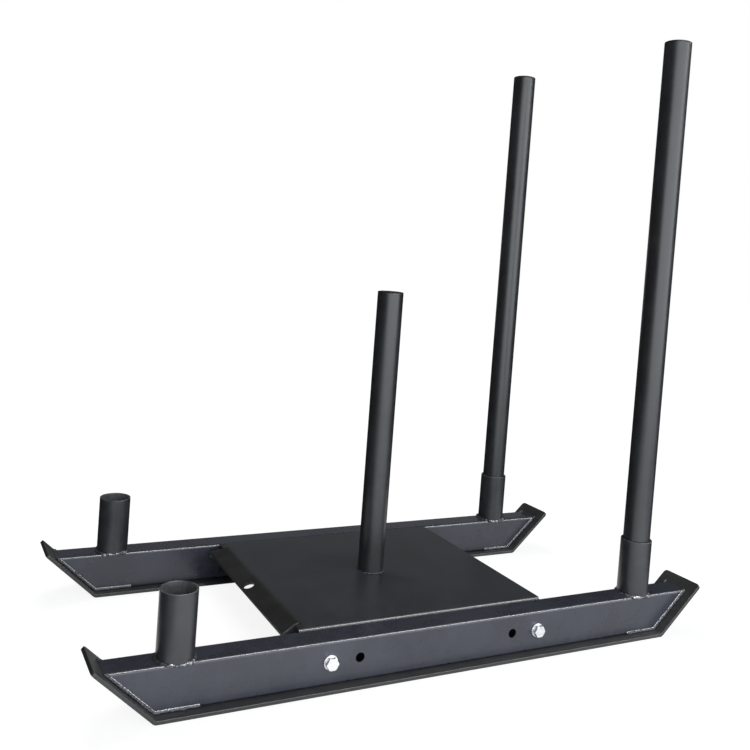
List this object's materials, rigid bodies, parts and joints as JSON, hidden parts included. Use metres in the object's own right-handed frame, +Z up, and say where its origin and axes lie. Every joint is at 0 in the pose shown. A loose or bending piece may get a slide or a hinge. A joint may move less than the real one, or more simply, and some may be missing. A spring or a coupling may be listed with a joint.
{
  "type": "push sled",
  "caption": "Low steel push sled: box-tube skis on upturned skid plates, a folded deck with a weight post, corner sockets and lift-out push poles.",
  "frame": {"origin": "on the floor under the middle of the sled: the centre of the bounding box's underside", "axes": "+X towards the pushing end, where the poles stand; +Y to the pusher's right; +Z up"},
  "size_m": [1.1618, 0.57, 1.1338],
  "materials": {
    "frame_coat": "satin black powder coat",
    "skid_coat": "satin black powder coat, worn at the edges",
    "socket_coat": "satin black powder coat",
    "deck_coat": "semi-gloss black powder coat",
    "pole_coat": "semi-gloss black powder coat",
    "cap_plastic": "matt black plastic",
    "zinc": "bright zinc plate"
  },
  "bodies": {
    "sled": {"left_rail": "frame_coat", "left_skid_plate": "skid_coat", "left_front_socket": "socket_coat", "left_rear_socket": "socket_coat", "left_front_bolt": "zinc", "left_front_head_washer": "zinc", "left_front_nut_washer": "zinc", "left_front_nut": "zinc", "left_rear_bolt": "zinc", "left_rear_head_washer": "zinc", "left_rear_nut_washer": "zinc", "left_rear_nut": "zinc", "right_rail": "frame_coat", "right_skid_plate": "skid_coat", "right_front_socket": "socket_coat", "right_rear_socket": "socket_coat", "right_front_bolt": "zinc", "right_front_head_washer": "zinc", "right_front_nut_washer": "zinc", "right_front_nut": "zinc", "right_rear_bolt": "zinc", "right_rear_head_washer": "zinc", "right_rear_nut_washer": "zinc", "right_rear_nut": "zinc", "deck_plate": "deck_coat", "weight_post": "pole_coat", "weight_post_cap": "cap_plastic"},
    "left_pole": {"left_push_pole": "pole_coat", "left_pole_cap": "cap_plastic"},
    "right_pole": {"right_push_pole": "pole_coat", "right_pole_cap": "cap_plastic"}
  },
  "joints": [
    {"name": "left_pole_lift", "type": "slide", "parent": "sled", "child": "left_pole", "axis": [0, 0, 1], "range_m": [0, 0.12]},
    {"name": "right_pole_lift", "type": "slide", "parent": "sled", "child": "right_pole", "axis": [0, 0, 1], "range_m": [0, 0.12]}
  ]
}
